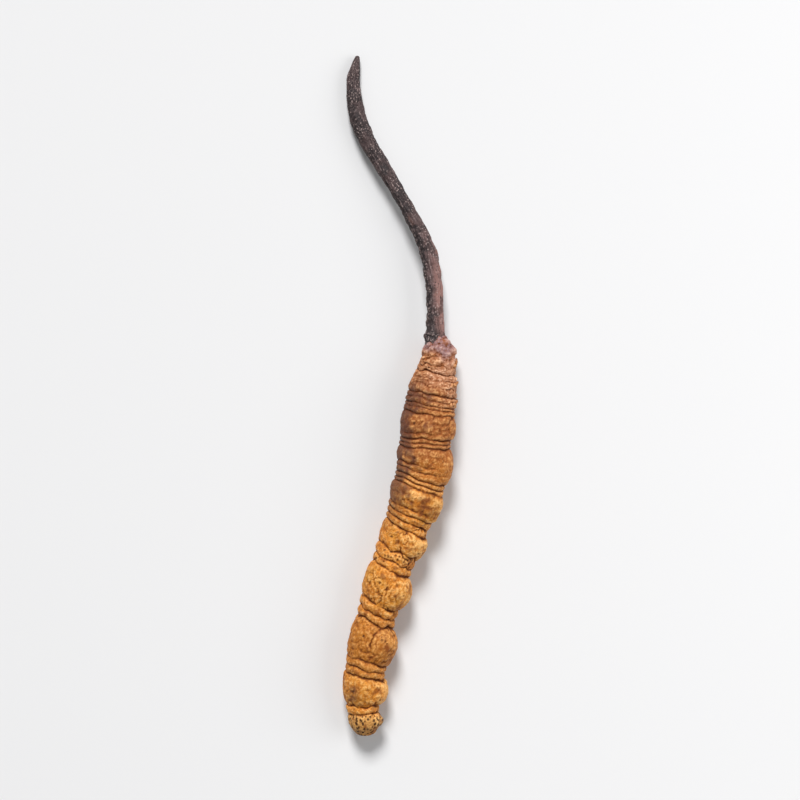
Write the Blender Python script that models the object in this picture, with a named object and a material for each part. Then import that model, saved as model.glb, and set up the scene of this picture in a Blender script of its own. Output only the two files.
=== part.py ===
"""Dried cordyceps: a mummified ghost-moth larva and the fungus stalk that grew from its head.

The specimen lies on its flank on the plane z = 0. The stalk points along +Y, the tail along -Y and the
larva's belly, with its legs, faces +X. Two pieces are made: the larva's body and the stroma.
"""

import math

import bmesh
import bpy
import numpy as np
from mathutils import Vector

MM = 0.001

# The larva's spine from the head joint to the tail, as (x, y) seen from above, in millimetres.
SPINE = [
    (4.0, 22.4), (4.15, 19.8), (3.6, 16.6), (2.95, 12.1), (2.35, 7.3), (0.95, 1.8),
    (-0.75, -3.1), (-2.4, -8.6), (-3.75, -14.7), (-4.2, -19.6), (-4.05, -22.9),
]
# Its radius over the crests, as (distance from the head joint, radius) in millimetres.
GIRTH = [
    (0.0, 1.45), (0.9, 1.85), (2.0, 2.15), (4.0, 2.42), (6.0, 2.8), (8.5, 3.0), (13.5, 3.12), (18.0, 3.1),
    (23.0, 2.74), (29.0, 2.76), (32.5, 2.6), (36.0, 2.7), (41.0, 2.5), (43.5, 2.1), (45.2, 1.45), (46.2, 0.85),
]
# Its segments from head to tail: name, start and end of the lobe in millimetres, folds up to the next lobe.
SEGMENTS = [
    ("head", 0.0, 1.7, 1), ("thorax_1", 2.2, 3.6, 1), ("thorax_2", 4.2, 5.6, 1), ("thorax_3", 6.3, 7.9, 1),
    ("belly_1", 8.5, 11.2, 2), ("belly_2", 12.3, 14.6, 3), ("belly_3", 16.5, 20.0, 3),
    ("belly_4", 21.8, 24.6, 3), ("belly_5", 27.0, 30.8, 3), ("belly_6", 33.2, 37.8, 2),
    ("belly_7", 39.6, 42.5, 1), ("tail", 43.4, 46.2, 0),
]
BODY_END = SEGMENTS[-1][2]
LOBE_DEPTH = 0.34  # how far the creases beside a lobe lie below its crest
LOBE_SHARPNESS = 4  # power of the super-ellipse that rounds a lobe from crease to crease
LOBE_STATIONS = 5
FOLD_SINK = 0.24  # how far a fold's crest lies below the lobes beside it
FOLD_DEPTH = 0.2
FOLD_SHARPNESS = 2
FOLD_STATIONS = 3
FULL_CREASE_RADIUS = 2.6  # the creases are shallower where the body is thinner than this
LEAST_CREASE = 0.35

FLATTEN = 0.94  # the body is a little lower than it is wide
PRESSED = 0.13  # how far the round body is pressed flat where it rests
HEAD_LIFT, HEAD_LIFT_END = 1.1, 8.0  # the head rises clear of the floor before this distance
TAIL_LIFT, TAIL_LIFT_START = 1.0, 42.0  # and the tail after this one

# Legs stand in a row on each side of the belly's middle line; angles are from that line, in degrees.
PROLEG_SEGMENTS = ("belly_3", "belly_4", "belly_5", "belly_6")
PROLEG_ANGLE = 42.0
PROLEG_LENGTH = 1.4
PROLEG_RADIUS, PROLEG_REACH = 1.1, 0.38
TAIL_LEG_AT, TAIL_LEG_RADIUS, TAIL_LEG_REACH = 44.6, 0.5, 0.15
PROLEG_ROOT, PROLEG_FOOT = 1.15, 0.75  # radii of a proleg's two ends as shares of its radius
THORAX_LEG_ANGLE = 34.0
THORAX_LEG_LENGTH = 1.0
THORAX_LEG_RADIUS, THORAX_LEG_REACH = 0.34, 0.42
THORAX_LEG_ROOT, THORAX_LEG_CLAW = 1.0, 0.3
LEG_SIDES = 12

# The stroma's centre line from the head joint to the tip, as (x, y) in millimetres.
STALK = [
    (4.1, 22.4), (3.9, 25.0), (3.85, 27.1), (3.6, 29.9), (3.2, 32.0), (2.6, 33.7), (1.75, 35.4), (0.6, 37.5),
    (-0.8, 39.9), (-1.9, 41.7), (-3.3, 44.0), (-4.5, 46.4), (-5.2, 49.0), (-5.35, 51.6), (-4.9, 54.2),
]
# Its radius and its height above the floor, in millimetres, at a share of its length.
STALK_GIRTH = [
    (0.0, 1.12), (0.05, 0.98), (0.15, 0.95), (0.3, 0.93), (0.4, 0.84), (0.5, 0.78), (0.6, 0.8), (0.72, 0.9),
    (0.84, 0.88), (0.92, 0.7), (0.97, 0.46), (1.0, 0.2),
]
STALK_HEIGHT = [(0.0, 2.38), (0.3, 2.28), (0.55, 1.75), (0.75, 1.05), (0.84, 0.83), (1.0, 0.62)]
STALK_STATIONS = 56
JOINT_GAP = 0.3  # clear space between the stroma's foot and the larva's head
BUD_RADIUS = 0.36  # a second stalk that stayed a bud, at the foot of the first
BUD_OFFSET = (-0.95, 0.35, 0.2)

BODY_BEVEL_RESOLUTION = 8  # 20 sides
STALK_BEVEL_RESOLUTION = 4  # 12 sides
WELD_DISTANCE = 0.02 * MM

SLAB_WIDTH, SLAB_LENGTH, SLAB_THICKNESS = 60, 120, 10  # the cutter below the floor plane
SLAB_MIDDLE = 15

LARVA_COLOUR, LARVA_ROUGHNESS = (0.46, 0.19, 0.06), 0.62
STROMA_COLOUR, STROMA_ROUGHNESS = (0.13, 0.085, 0.075), 0.7


def smooth(table, places):
    """Values at the given places on one smooth curve through a table of (place, value, ...) rows."""
    table = np.asarray(table, float)
    places = np.asarray(places, float)
    knots, values = table[:, 0], table[:, 1:]
    slopes = np.gradient(values, knots, axis=0)
    i = np.clip(np.searchsorted(knots, places, side="right") - 1, 0, len(knots) - 2)
    width = (knots[i + 1] - knots[i])[:, None]
    t = (places - knots[i])[:, None] / width
    rise = t * t * (3 - 2 * t)
    mixed = (1 - rise) * values[i] + rise * values[i + 1]
    return mixed + width * (t * (1 - t) ** 2 * slopes[i] + t * t * (t - 1) * slopes[i + 1])


def with_distance(points):
    """The points with their distance along the line put in front of each."""
    points = np.asarray(points, float)
    steps = np.linalg.norm(np.diff(points, axis=0), axis=1)
    return np.column_stack([np.concatenate([[0.0], np.cumsum(steps)]), points])


def body_bands():
    """Every ring of the larva from head to tail, as (start, end, is a fold)."""
    bands = []
    for i, (_, start, end, folds) in enumerate(SEGMENTS):
        bands.append((start, end, False))
        if folds:
            width = (SEGMENTS[i + 1][1] - end) / folds
            bands += [(end + k * width, end + (k + 1) * width, True) for k in range(folds)]
    return bands


def body_stations():
    """(distances from the head joint, radii) of the larva's creases and crests."""
    distances, hollows = [], []
    for start, end, is_fold in body_bands():
        steps = FOLD_STATIONS if is_fold else LOBE_STATIONS
        power = FOLD_SHARPNESS if is_fold else LOBE_SHARPNESS
        depth = FOLD_DEPTH if is_fold else LOBE_DEPTH
        share = np.arange(steps) / steps
        crest = (1 - np.abs(2 * share - 1) ** power) ** (1 / power)
        distances.append(start + (end - start) * share)
        hollows.append(depth * (1 - crest) + (FOLD_SINK if is_fold else 0.0))
    distances = np.append(np.concatenate(distances), BODY_END)
    hollows = np.append(np.concatenate(hollows), 0.0)
    girth = smooth(GIRTH, distances)[:, 0]
    return distances, girth - hollows * np.clip(girth / FULL_CREASE_RADIUS, LEAST_CREASE, 1.0)


def spine_points(distances):
    """Points of the larva's spine; its underside is pressed into the floor and its ends rise clear."""
    plan = smooth(with_distance(SPINE), distances)
    girth = smooth(GIRTH, distances)[:, 0]
    head = np.clip(1 - distances / HEAD_LIFT_END, 0, 1) ** 2
    tail = np.clip((distances - TAIL_LIFT_START) / (BODY_END - TAIL_LIFT_START), 0, 1) ** 2
    height = FLATTEN * girth - PRESSED + HEAD_LIFT * head + TAIL_LIFT * tail
    return np.column_stack([plan, height])


def material(name, colour, roughness):
    """A plain Principled material."""
    made = bpy.data.materials.new(name)
    made.use_nodes = True
    shader = made.node_tree.nodes["Principled BSDF"]
    shader.inputs["Base Color"].default_value = (*colour, 1.0)
    shader.inputs["Roughness"].default_value = roughness
    shader.inputs["Metallic"].default_value = 0.0
    return made


def keep_in(collection, name):
    """Names the object that was just added and moves it into the given collection."""
    made = bpy.context.active_object
    made.name = name
    for holder in made.users_collection:
        holder.objects.unlink(made)
    collection.objects.link(made)
    return made


def weld(mesh):
    """Joins a curve's loose caps to its sides and turns every face outwards."""
    work = bmesh.new()
    work.from_mesh(mesh)
    bmesh.ops.remove_doubles(work, verts=work.verts, dist=WELD_DISTANCE)
    bmesh.ops.recalc_face_normals(work, faces=work.faces)
    work.to_mesh(mesh)
    work.free()


def tube(name, points, radii, bevel_resolution, collection):
    """A capped tube of changing radius along a poly curve, made a mesh; sizes in millimetres."""
    curve = bpy.data.curves.new(name + "_line", "CURVE")
    curve.dimensions = "3D"
    curve.bevel_depth = MM  # so that a point's radius is in millimetres
    curve.bevel_resolution = bevel_resolution
    curve.use_fill_caps = True
    spline = curve.splines.new("POLY")
    spline.points.add(len(points) - 1)
    for point, place, radius in zip(spline.points, points, radii):
        point.co = (*(Vector(place) * MM), 1.0)
        point.radius = radius
    line = bpy.data.objects.new(name + "_line", curve)
    collection.objects.link(line)
    bpy.context.view_layer.update()
    mesh = bpy.data.meshes.new_from_object(line.evaluated_get(bpy.context.evaluated_depsgraph_get()))
    bpy.data.objects.remove(line)
    weld(mesh)
    made = bpy.data.objects.new(name, mesh)
    collection.objects.link(made)
    return made


def combine(obj, other, operation):
    """A live Boolean of obj with a helper object, which isn't itself part of the specimen."""
    modifier = obj.modifiers.new(f"{operation.lower()}_{other.name}", "BOOLEAN")
    modifier.operation = operation
    modifier.object = other
    other.hide_render = True
    other.display_type = "WIRE"


def leg(name, distance, angle, root_radius, foot_radius, length, reach, helpers):
    """A short tapered leg that stands straight out of the larva's side, by reach millimetres."""
    before, here, after = spine_points(np.array([distance - 0.1, distance, distance + 0.1]))
    along = after - before
    sideways = np.array([-along[1], along[0], 0.0]) / np.hypot(along[0], along[1])
    turn = math.radians(angle)
    out = math.cos(turn) * sideways + math.sin(turn) * np.array([0.0, 0.0, 1.0])
    middle = here + out * (smooth(GIRTH, [distance])[0, 0] + reach - length / 2)
    bpy.ops.mesh.primitive_cone_add(
        vertices=LEG_SIDES, radius1=root_radius * MM, radius2=foot_radius * MM, depth=length * MM,
        location=Vector(middle) * MM, rotation=Vector(out).to_track_quat("Z", "Y").to_euler(),
    )
    return keep_in(helpers, name)


def legs(helpers):
    """Every leg: three thin pairs on the thorax, four stout pairs on the belly, one small pair at the tail."""
    made = []
    for side_name, side in (("upper", 1), ("lower", -1)):
        for name, start, end, _ in SEGMENTS:
            if name.startswith("thorax"):
                made.append(leg(
                    f"{side_name}_leg_{name}", (start + end) / 2, side * THORAX_LEG_ANGLE,
                    THORAX_LEG_RADIUS * THORAX_LEG_ROOT, THORAX_LEG_RADIUS * THORAX_LEG_CLAW,
                    THORAX_LEG_LENGTH, THORAX_LEG_REACH, helpers,
                ))
            elif name in PROLEG_SEGMENTS:
                made.append(leg(
                    f"{side_name}_proleg_{name}", (start + end) / 2, side * PROLEG_ANGLE,
                    PROLEG_RADIUS * PROLEG_ROOT, PROLEG_RADIUS * PROLEG_FOOT,
                    PROLEG_LENGTH, PROLEG_REACH, helpers,
                ))
        made.append(leg(
            f"{side_name}_proleg_tail", TAIL_LEG_AT, side * PROLEG_ANGLE,
            TAIL_LEG_RADIUS * PROLEG_ROOT, TAIL_LEG_RADIUS * PROLEG_FOOT,
            PROLEG_LENGTH, TAIL_LEG_REACH, helpers,
        ))
    return made


def floor_slab(helpers):
    """A cutter that fills the space below the plane that the specimen lies on."""
    bpy.ops.mesh.primitive_cube_add(size=MM, location=(0, SLAB_MIDDLE * MM, -SLAB_THICKNESS * MM / 2))
    bpy.context.active_object.scale = (SLAB_WIDTH, SLAB_LENGTH, SLAB_THICKNESS)
    bpy.ops.object.transform_apply(location=True, rotation=False, scale=True)
    return keep_in(helpers, "floor_slab")


def make_larva(collection, helpers, slab):
    """The mummified larva: ringed lobes and folds, legs along the belly, pressed flat where it rests."""
    distances, radii = body_stations()
    points = spine_points(distances)
    points[:, 2] /= FLATTEN  # the whole tube is squeezed back by the same share below
    body = tube("larva_body", points, radii, BODY_BEVEL_RESOLUTION, collection)
    for vertex in body.data.vertices:
        vertex.co.z *= FLATTEN
    for one in legs(helpers):
        combine(body, one, "UNION")
    combine(body, slab, "DIFFERENCE")
    body.data.shade_smooth()
    body.data.materials.append(material("larva_skin", LARVA_COLOUR, LARVA_ROUGHNESS))
    return body


def make_stroma(collection, helpers, slab):
    """The fungus stalk: it bends to one side and swells towards its end, which lies on the floor."""
    line = with_distance(STALK)
    length = line[-1, 0]
    shares = np.linspace(JOINT_GAP / length, 1.0, STALK_STATIONS)
    points = np.column_stack([smooth(line, shares * length), smooth(STALK_HEIGHT, shares)])
    stalk = tube("stroma", points, smooth(STALK_GIRTH, shares)[:, 0], STALK_BEVEL_RESOLUTION, collection)
    bpy.ops.mesh.primitive_uv_sphere_add(
        segments=10, ring_count=6, radius=BUD_RADIUS * MM, location=Vector(points[0] + BUD_OFFSET) * MM,
    )
    combine(stalk, keep_in(helpers, "stroma_bud"), "UNION")
    combine(stalk, slab, "DIFFERENCE")
    stalk.data.shade_smooth()
    stalk.data.materials.append(material("stroma_skin", STROMA_COLOUR, STROMA_ROUGHNESS))
    return stalk


def centre(pieces, helpers, collection):
    """Parents everything to an empty, moved so that the outline of both pieces is centred on the origin."""
    bpy.context.view_layer.update()
    graph = bpy.context.evaluated_depsgraph_get()
    corners = np.concatenate([np.array(piece.evaluated_get(graph).bound_box) for piece in pieces])
    middle = (corners.min(axis=0) + corners.max(axis=0)) / 2
    specimen = bpy.data.objects.new("specimen", None)
    collection.objects.link(specimen)
    specimen.location = (-middle[0], -middle[1], 0)
    for obj in [*pieces, *helpers.objects]:
        obj.parent = specimen


def main():
    """Builds the specimen in the open scene."""
    for obj in list(bpy.data.objects):
        bpy.data.objects.remove(obj)
    collection = bpy.data.collections.new("dried_cordyceps")
    helpers = bpy.data.collections.new("helpers")
    for made in (collection, helpers):
        bpy.context.scene.collection.children.link(made)
    slab = floor_slab(helpers)
    pieces = [make_larva(collection, helpers, slab), make_stroma(collection, helpers, slab)]
    centre(pieces, helpers, collection)


if __name__ == "__main__":
    main()
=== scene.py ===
"""The looks of a dried cordyceps: a mummified ghost-moth larva with a fungus stalk grown from its head.

The specimen lies on its flank on a pale surface and is seen from above. The larva's skin is one surface,
a height over a bent tube: rings of lobes and folds with creases between them, prolegs on the belly side, and
ever finer wrinkles, pits and grains. The stalk, its bud and the thorax legs are surfaces of their own.
Lengths are in millimetres until a mesh is made. Angles round a tube run from its belly side (0) over its top (90).
"""

import itertools
import logging
import math
from dataclasses import dataclass, field
from enum import Enum
from typing import Any

import bpy
import numpy as np
from mathutils import Euler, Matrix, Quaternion, Vector


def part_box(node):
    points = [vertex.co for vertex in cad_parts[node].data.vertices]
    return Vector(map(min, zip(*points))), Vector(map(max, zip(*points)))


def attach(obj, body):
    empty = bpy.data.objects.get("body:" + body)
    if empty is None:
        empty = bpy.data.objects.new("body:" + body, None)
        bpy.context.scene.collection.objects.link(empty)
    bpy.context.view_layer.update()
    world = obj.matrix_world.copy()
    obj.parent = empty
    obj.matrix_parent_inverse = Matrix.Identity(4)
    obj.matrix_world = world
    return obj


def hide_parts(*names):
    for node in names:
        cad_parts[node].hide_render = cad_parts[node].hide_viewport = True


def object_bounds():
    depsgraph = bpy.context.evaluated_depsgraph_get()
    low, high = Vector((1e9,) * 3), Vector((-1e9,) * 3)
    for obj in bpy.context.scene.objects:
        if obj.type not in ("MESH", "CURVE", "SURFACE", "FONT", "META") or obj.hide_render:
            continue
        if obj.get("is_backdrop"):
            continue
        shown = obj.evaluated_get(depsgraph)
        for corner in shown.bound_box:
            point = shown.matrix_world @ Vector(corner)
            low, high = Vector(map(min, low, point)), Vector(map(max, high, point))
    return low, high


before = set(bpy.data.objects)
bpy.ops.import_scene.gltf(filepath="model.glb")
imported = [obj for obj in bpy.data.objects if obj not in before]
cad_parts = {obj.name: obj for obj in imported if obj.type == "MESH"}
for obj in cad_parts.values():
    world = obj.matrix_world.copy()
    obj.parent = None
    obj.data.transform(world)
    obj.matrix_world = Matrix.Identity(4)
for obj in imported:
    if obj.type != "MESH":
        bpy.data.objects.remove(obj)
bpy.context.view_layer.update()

MM = 0.001
LOG = logging.getLogger("cordyceps")
FLOOR_SOFTNESS = 0.05

Array = np.ndarray
Piece = bpy.types.Object
Colour = tuple[float, float, float]
Point = tuple[float, float, float]
Row = tuple[float, ...]
Table = tuple[Row, ...]


# Shapes from numbers


def smooth_table(table: Table | Array, places: Array) -> Array:
    """Reads a table on one smooth curve through its rows: cubic pieces whose slopes agree at the rows.

    Args:
        table: Rows of (place, value, ...).
        places: Where to read it.

    Returns:
        One row of values for each place.
    """
    rows = np.asarray(table, float)
    knots, values = rows[:, 0], rows[:, 1:]
    slopes = np.gradient(values, knots, axis=0)
    i = np.clip(np.searchsorted(knots, places, side="right") - 1, 0, len(knots) - 2)
    width = (knots[i + 1] - knots[i])[:, None]
    t = np.clip((places - knots[i])[:, None] / width, 0, 1)
    rise = t * t * (3 - 2 * t)
    mixed = (1 - rise) * values[i] + rise * values[i + 1]
    return mixed + width * (t * (1 - t) ** 2 * slopes[i] + t * t * (t - 1) * slopes[i + 1])


def ramp(low: float, high: float, values: Array | float) -> Array:
    """0 below low, 1 above high and a smooth step between; low may be the larger one."""
    t = np.clip((values - low) / (high - low), 0, 1)
    return t * t * (3 - 2 * t)


def bell(values: Array) -> Array:
    """1 at 0, falling smoothly on both sides and nearly 0 from 2 on: e to the power of minus the square."""
    return np.exp(-(values**2))


def angle_between(a: Array | float, b: Array | float) -> Array:
    """The turn from b to a, in degrees from -180 to 180."""
    return (a - b + 180) % 360 - 180


def window(angles: Array, middle: float, half_width: float, edge: float) -> Array:
    """1 within half_width degrees of the middle angle, falling smoothly to 0 over edge degrees more."""
    return ramp(half_width + edge, half_width, np.abs(angle_between(angles, middle)))


def patch(s: Array, turn: Array, at: float, angle: float, length: float, width: float) -> Array:
    """A soft-edged patch round one place and angle: a bell curve of half a length times one of half a width."""
    return bell((s - at) / length) * bell(angle_between(turn, angle) / width)


def on_tube(places: Array | float, angles: Array, radius: Array | float = 1.0) -> Array:
    """Points on a straight tube, for noise: (place, radius times the angle's cosine, radius times its sine)."""
    turn = np.radians(angles)
    return np.stack(np.broadcast_arrays(places, radius * np.cos(turn), radius * np.sin(turn)), axis=-1)


@dataclass
class Noise:
    """Gradient noise in three dimensions: smooth, about -1 to 1, and the same on every run for one seed."""

    seed: int
    order: Array = field(init=False, repr=False)
    gradients: Array = field(init=False, repr=False)

    TABLE = 256
    STRENGTH = 1.7
    FRACTAL_SHIFT = 17.3
    CREASED_SHIFT = 9.1

    def __post_init__(self) -> None:
        """Draws the table of gradients."""
        random = np.random.default_rng(self.seed)
        self.order = np.tile(random.permutation(self.TABLE), 2)
        gradients = random.normal(size=(self.TABLE, 3))
        self.gradients = gradients / np.linalg.norm(gradients, axis=1, keepdims=True)

    def keys(self, cells: Array) -> Array:
        """One table key for each cell of the unit lattice."""
        x, y, z = (cells[..., axis] % self.TABLE for axis in range(3))
        return self.order[self.order[self.order[x] + y] + z]

    def at(self, points: Array) -> Array:
        """The noise at points: a fade-weighted mean of the eight corners' gradients times their distances.

        Args:
            points: Where to read it, with x, y and z along the last axis.

        Returns:
            One number for each point.
        """
        cells = np.floor(points).astype(int)
        inside = points - cells
        fade = inside**3 * (inside * (inside * 6 - 15) + 10)
        total = np.zeros(points.shape[:-1])
        for corner in itertools.product((0, 1), repeat=3):
            gradient = self.gradients[self.keys(cells + corner)]
            slope = np.sum(gradient * (inside - corner), axis=-1)
            total += slope * np.prod(np.where(corner, fade, 1 - fade), axis=-1)
        return total * self.STRENGTH

    def fractal(self, points: Array, octaves: int, gain: float = 0.5) -> Array:
        """A sum of noises, each twice as fine as the last and gain times as strong."""
        return sum(gain**i * self.at(points * 2.0**i + i * self.FRACTAL_SHIFT) for i in range(octaves))

    def creased(self, points: Array, octaves: int = 1, gain: float = 0.5) -> Array:
        """0 along wandering lines, rising to about 1 between them: soft bumps parted by sharp creases.

        Args:
            points: Where to read it.
            octaves: How many noises are mixed.
            gain: Each one's strength as a share of the last one's.

        Returns:
            One number for each point.
        """
        noises = [np.abs(self.at(points * 2.0**i + i * self.CREASED_SHIFT)) for i in range(octaves)]
        total = sum(gain**i * np.sqrt(np.clip(noise, 0, 1)) for i, noise in enumerate(noises))
        return total / sum(gain**i for i in range(octaves))

    def cells(self, points: Array) -> tuple[Array, Array]:
        """Distances to the nearest and the second nearest of points scattered one in each unit cell.

        Args:
            points: Where to measure, in cells.

        Returns:
            (nearest, second), one number of each for each point.
        """
        home = np.floor(points).astype(int)
        nearest = np.full(points.shape[:-1], 9.0)
        second = np.full(points.shape[:-1], 9.0)
        for step in itertools.product((-1, 0, 1), repeat=3):
            cell = home + step
            seed_point = cell + 0.5 + 0.5 * self.gradients[self.keys(cell)]
            distance = np.linalg.norm(points - seed_point, axis=-1)
            second = np.minimum(second, np.maximum(nearest, distance))
            nearest = np.minimum(nearest, distance)
        return nearest, second


@dataclass
class Path:
    """A smooth line through listed points, with a frame at each place along it.

    Attributes:
        plan: The points seen from above.
        height: Rows of (share of the length, height above the floor).
        table: Rows of (distance from the start, x, y).
        length: The distance from the first point to the last.
    """

    plan: Array
    height: Array
    table: Array = field(init=False, repr=False)
    length: float = field(init=False)

    STEP = 0.15

    def __post_init__(self) -> None:
        """Measures the distance along the line to each of its points."""
        steps = np.linalg.norm(np.diff(self.plan, axis=0), axis=1)
        self.table = np.column_stack([np.concatenate([[0.0], np.cumsum(steps)]), self.plan])
        self.length = float(self.table[-1, 0])

    @classmethod
    def placed_in(cls, node: str, plan: Table, height: Table | Array) -> "Path":
        """A path whose plan is given from the middle of a CAD node's box."""
        middle = np.mean(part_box(node), axis=0) / MM
        return cls(np.asarray(plan) + middle[:2], np.asarray(height))

    def points(self, places: Array) -> Array:
        """Points on the line, at distances from its start that are held within it."""
        held = np.clip(places, 0, self.length)
        return np.column_stack([smooth_table(self.table, held), smooth_table(self.height, held / self.length)])

    def frames(self, places: Array) -> tuple[Array, Array, Array]:
        """Points on the line with the directions to its belly side and to its top; it runs straight on past its ends.

        Args:
            places: Distances from the line's start.

        Returns:
            (points, sideways, upwards), each with one row for each place.
        """
        held = np.clip(places, 0, self.length)
        along = self.points(held + self.STEP) - self.points(held - self.STEP)
        along /= np.linalg.norm(along, axis=1, keepdims=True)
        points = self.points(held) + along * (places - held)[:, None]
        return points, *across(along)


def across(along: Array, above: Point = (0, 0, 1)) -> tuple[Array, Array]:
    """Two directions at right angles to a line's direction and to each other.

    Args:
        along: The line's direction at each of its points.
        above: A direction that the line never takes.

    Returns:
        (sideways, upwards); sideways is above cross along, and upwards is along cross sideways.
    """
    sideways = np.cross(above, along)
    sideways /= np.linalg.norm(sideways, axis=1, keepdims=True)
    upwards = np.cross(along, sideways)
    return sideways, upwards / np.linalg.norm(upwards, axis=1, keepdims=True)


def crosswise(points: Array, above: Point = (0, 0, 1)) -> tuple[Array, Array]:
    """The two directions across a line given by its points."""
    return across(np.gradient(points, axis=0), above)


def around(frames: tuple[Array, Array, Array], angles: Array, radius: Array, flatten: float = 1.0) -> Array:
    """Points round a line, pressed flat where they would go through the floor.

    The height z becomes the mean of z and the square root of z squared plus FLOOR_SOFTNESS squared, which is z
    well above the floor and nearly 0 below it.

    Args:
        frames: The line's points with their directions sideways and upwards.
        angles: The columns' angles in degrees.
        radius: The tube's radius, rows by columns.
        flatten: Its height as a share of its width.

    Returns:
        Rows by columns by three, in millimetres.
    """
    middle, sideways, upwards = (part[:, None] for part in frames)
    turn = np.radians(angles)[None, :, None]
    points = middle + radius[..., None] * (np.cos(turn) * sideways + flatten * np.sin(turn) * upwards)
    z = points[..., 2]
    points[..., 2] = (z + np.sqrt(z * z + FLOOR_SOFTNESS**2)) / 2
    return points


def blurred(values: Array, passes: int) -> Array:
    """The values averaged with their neighbours, many times over; columns run round a tube, so they wrap.

    Args:
        values: Rows by columns.
        passes: How many times.

    Returns:
        The averaged values.
    """
    for _ in range(passes):
        rows = np.concatenate([values[:1], values, values[-1:]])
        values = (rows[:-2] + 2 * rows[1:-1] + rows[2:]) / 4
        values = (np.roll(values, 1, axis=1) + 2 * values + np.roll(values, -1, axis=1)) / 4
    return values


def tube_mesh(name: str, tubes: list[Array], values: list[dict[str, Array]]) -> Piece:
    """Makes one mesh of closed tubes, each a grid of points whose rows run along it and whose columns run round it.

    Args:
        name: The piece's name.
        tubes: One grid for each tube, rows by columns by three, in millimetres.
        values: For each tube, named numbers for its grid points, kept as attributes for the piece's material.

    Returns:
        The new object, its faces pointing outwards and a pole at each end of each tube.
    """
    vertices, faces, start = [], [], 0
    for points in tubes:
        rows, columns = points.shape[:2]
        corner = np.arange(start, start + rows * columns).reshape(rows, columns)
        beside = np.roll(corner, -1, axis=1)
        first = np.full(columns, start + rows * columns)
        faces += np.stack([corner[:-1], beside[:-1], beside[1:], corner[1:]], axis=-1).reshape(-1, 4).tolist()
        faces += np.stack([first, beside[0], corner[0]], axis=-1).tolist()
        faces += np.stack([first + 1, corner[-1], beside[-1]], axis=-1).tolist()
        vertices += [points.reshape(-1, 3), points[0].mean(axis=0)[None], points[-1].mean(axis=0)[None]]
        start += rows * columns + 2
    mesh = bpy.data.meshes.new(name)
    mesh.from_pydata((np.concatenate(vertices) * MM).tolist(), [], faces)
    for label in values[0]:
        numbers = [(v[label].ravel(), v[label][:1].mean(axis=1), v[label][-1:].mean(axis=1)) for v in values]
        attribute = mesh.attributes.new(label, "FLOAT", "POINT")
        attribute.data.foreach_set("value", np.concatenate(list(itertools.chain(*numbers))).astype(np.float32))
    mesh.shade_smooth()
    mesh.update()
    piece = bpy.data.objects.new(name, mesh)
    bpy.context.scene.collection.objects.link(piece)
    return piece


# Shader maths


class Field:
    """A shader socket that arithmetic can be written on; each operation adds its Math node."""

    def __init__(self, tree: "Tree", socket: bpy.types.NodeSocket) -> None:
        """Keeps the socket and the tree that it belongs to."""
        self.tree = tree
        self.socket = socket

    def math(self, operation: str, *values: Any) -> "Field":
        """A Math node of the given operation on these values."""
        return self.tree.add("ShaderNodeMath", {"operation": operation}, dict(enumerate(values)))

    def __add__(self, other: Any) -> "Field":
        """This plus the other."""
        return self.math("ADD", self, other)

    def __sub__(self, other: Any) -> "Field":
        """This minus the other."""
        return self.math("SUBTRACT", self, other)

    def __rsub__(self, other: Any) -> "Field":
        """The other minus this."""
        return self.math("SUBTRACT", other, self)

    def __mul__(self, other: Any) -> "Field":
        """This times the other."""
        return self.math("MULTIPLY", self, other)

    __radd__ = __add__
    __rmul__ = __mul__

    def between(self, low: float, high: float) -> "Field":
        """0 where this is below low, 1 above high, and a smooth step between."""
        settings = {"interpolation_type": "SMOOTHSTEP"}
        return self.tree.add("ShaderNodeMapRange", settings, {0: self, 1: low, 2: high})


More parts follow.
